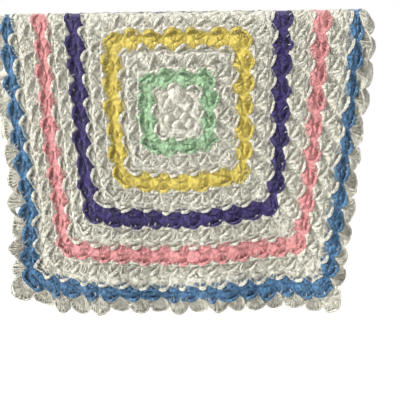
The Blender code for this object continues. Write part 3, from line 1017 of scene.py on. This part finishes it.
def shell_stitches():
    """The strands fanned over all shells, without those that would cross a gap."""
    shell, fan = (part.ravel() for part in np.meshgrid(np.arange(SHELLS), np.radians(FAN),
                                                       indexing="ij"))
    fan = fan + rng.normal(0, FAN_SPREAD, len(fan))
    foot = shell_foot(shell, fan / (math.pi / 2))[:, None]
    tip = lobe_point(shell, fan, FAN_SHARE)[:, None]
    tried = blend(foot, tip, PROBES[None, :, None])
    clear = [outside_gaps(tried[:, step], GAP_MARGIN) for step in range(len(PROBES))]
    reach = np.array(EDGING_STITCH["reach"])[None, :, None]
    places = blend(foot, tip, reach)[np.all(clear, axis=0)]
    return places[..., 0], places[..., 1], *strand_shape(EDGING_STITCH, len(places))


def shell_rim():
    """The closed line along the lobes of all shells."""
    walk = np.arange(SHELLS * RIM_STEPS) / RIM_STEPS
    return lobe_point(np.floor(walk), np.radians(180 * (walk % 1) - 90), RIM_SHARE)[None]


bands["shell_edging"].add(*shell_stitches(), sides=5)
rim = shell_rim()
rim_height = np.full(rim.shape[:2], RIM_HEIGHT)
add_pair(bands["shell_edging"], rim, rim_height, RIM_APART, RIM_SWING, RIM_RADIUS)
print("shells:", SHELLS)

# %% [markdown]
# ## The ground between the strands
# Between the tall stitches the eye meets more yarn, their backs and the loops under them.

# %% Ground sheet
GROUND_STEPS = 4
ALONG_SIDE = np.arange(GROUND_STEPS + 1) / GROUND_STEPS
# From a bead's middle to its outline, heights in millimetres; and those of the edging's layers
GROUND = {
    "reach": (0, 0.34, 0.62, 0.80, 0.92, 1.0),
    "shell": (1.2, 1.5, -0.8, -2.2, -1.0, 0.4),
    "ridge": (0.0, 0.0, 0.0, 0.4, 4.6, 1.6),
    "cluster": (1.2, 3.4, 3.0, 1.8, 0.8, 0.4),
    "inner_ridge": (0.0, 0.0, 0.0, 0.0, 0.2, 1.6),
    "edging": (0.4, -3.6, -4.6, -4.6, -4.0, -1.6),
}
GROUND_THICKNESS = 1.2 * MM
EDGING_LAYERS = 5


def bead_outlines():
    """Each bead's outline, its sides one after another, which are a shell's, and their rise."""
    beads = beads_of(range(BODY_ROUND + 1))
    s = np.broadcast_to(ALONG_SIDE, (len(beads), len(ALONG_SIDE)))
    outline, is_shell, rise = [], [], []
    for side in range(4):
        sides = np.full(len(beads), side)
        across = beads + ACROSS_SIDE[sides]
        outer = round_of(across) > round_of(beads)
        outline.append(np.where(outer[:, None, None], edge_points(beads, sides, s, True),
                                edge_points(beads, sides, s, False)))
        is_shell.append(np.broadcast_to(outer[:, None], s.shape))
        rise.append(np.where(outer[:, None], ridge_rise(beads, sides, s),
                             ridge_rise(across, (sides + 2) % 4, 1 - s)))
    return beads, *(np.concatenate(part, axis=1) for part in (outline, is_shell, rise))


def body_ground():
    """Triangles in rings from each bead's middle to its outline, with heights from the table."""
    beads, outline, is_shell, rise = bead_outlines()
    reach = np.array(GROUND["reach"])[None, :, None, None]
    rings = beads[:, None, None] + reach * (outline - beads[:, None])[:, None]
    shell, ridge, cluster, inner_ridge = (np.array(GROUND[part])[:, None] for part in
                                          ("shell", "ridge", "cluster", "inner_ridge"))
    rise = rise[:, None]
    height = np.where(is_shell[:, None], shell + ridge * rise, cluster + inner_ridge * rise)
    grid = np.concatenate([rings, height[..., None]], -1)
    ahead = np.roll(grid, -1, axis=2)
    near, far = grid[:, :-1], grid[:, 1:]
    near_ahead, far_ahead = ahead[:, :-1], ahead[:, 1:]
    triangles = np.stack([np.stack([near, far, far_ahead], -2),
                          np.stack([near, far_ahead, near_ahead], -2)], 1)
    number = np.broadcast_to(round_of(beads)[:, None, None, None], triangles.shape[:4])
    return triangles.reshape(-1, 3, 3), number.ravel()


def shell_base(number, corner):
    """The blue round's edge under shells: a corner bead's side, or two sides that meet."""
    middle, out = edge_walk(2.0 * number)
    quarter = number // EDGING_ROUND
    s = np.broadcast_to(ALONG_SIDE, (len(number), len(ALONG_SIDE)))
    if corner:
        bead = np.sign(middle).astype(int) * BODY_ROUND
        return outer_edge(bead, (2 + quarter) % 4, s)
    along = quarter_turn(out)
    before = np.round(middle - out - along).astype(int)
    after = np.round(middle - out + along).astype(int)
    first = outer_edge(before, (3 + quarter) % 4, s)
    second = outer_edge(after, (2 + quarter) % 4, s)
    return np.concatenate([first, second[:, 1:]], axis=1)


def edging_ground():
    """Triangles of every shell, from the blue round's edge to the lobe, blended in layers."""
    shells = np.arange(SHELLS)
    layer = (np.arange(EDGING_LAYERS + 1) / EDGING_LAYERS)[None, None, :, None]
    triangles = []
    for corner in (False, True):
        number = shells[(shells % EDGING_ROUND == 0) == corner]
        base = shell_base(number, corner)
        turn = np.linspace(-1, 1, base.shape[1])[None, :] * math.pi / 2
        lobe = lobe_point(number[:, None], turn)
        grid = blend(base[:, :, None], lobe[:, :, None], layer)
        height = np.broadcast_to(np.array(GROUND["edging"])[:, None], grid.shape[:3] + (1,))
        grid = np.concatenate([grid, height], -1)
        near, far = grid[:, :-1, :-1], grid[:, :-1, 1:]
        near_ahead, far_ahead = grid[:, 1:, :-1], grid[:, 1:, 1:]
        for three in ((near, far, far_ahead), (near, far_ahead, near_ahead)):
            triangles.append(np.stack(three, -2).reshape(-1, 3, 3))
    return np.concatenate(triangles)


body, body_round = body_ground()
edging = edging_ground()
edging = edging[outside_gaps(edging[..., :2].mean(axis=1), GROUND_GAP)]
print("ground triangles:", len(body), "in the body,", len(edging), "in the edging")

# %% [markdown]
# ## The ground as one mesh
# Corners that lie together become one point, triangles that shrink to a line are left out, and
# all are turned the same way up. Each triangle has the yarn of its round, and the sheet is then
# thickened to both sides.

# %% Ground mesh
SPOT_DIGITS = 4
of_round = np.concatenate([body_round, np.full(len(edging), EDGING_ROUND)])
corners = np.concatenate([body, edging]).reshape(-1, 3)
spots, faces = np.unique(np.round(corners, SPOT_DIGITS), axis=0, return_inverse=True)
faces = faces.reshape(-1, 3)
whole = (faces != np.roll(faces, 1, axis=1)).all(axis=1)
faces, of_round = faces[whole], of_round[whole]
points = drape(spots[:, 0], spots[:, 1], spots[:, 2] * MM)
flat = spots[faces][..., :2]
face_down = np.cross(flat[:, 1] - flat[:, 0], flat[:, 2] - flat[:, 0]) < 0
faces[face_down] = faces[face_down][:, ::-1]
uv = spots[faces][..., :2] * HALF_BEAD / YARN_PITCH
ground = put_mesh("stitch_ground", points, [(faces, uv)])
for material in materials.values():
    ground.data.materials.append(material)
slot_of_round = np.zeros(EDGING_ROUND + 1, int)
for _, first_round, last_round, yarn in BANDS:
    slot_of_round[first_round:last_round + 1] = list(materials).index(yarn)
ground.data.polygons.foreach_set("material_index", slot_of_round[of_round].astype(np.int32))
wall = ground.modifiers.new("thickness", "SOLIDIFY")
wall.thickness, wall.offset = GROUND_THICKNESS, 0
print("ground faces:", len(faces))

# %% [markdown]
# ## Into the scene
# Each band becomes one mesh. All of them and the ground ride on the blanket's one body and
# together stand for the plain CAD cloth, which is hidden.

# %% Meshes, riding and finish
for name, band in bands.items():
    piece = put_mesh(name, np.concatenate(band.points), band.groups)
    piece.data.materials.append(materials[band.yarn])
    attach(piece, "root")
    triangles = sum(len(group) * (group.shape[1] - 2) for group, _ in band.groups)
    print(name, triangles, "triangles")

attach(ground, "root")
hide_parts("crochet_blanket")
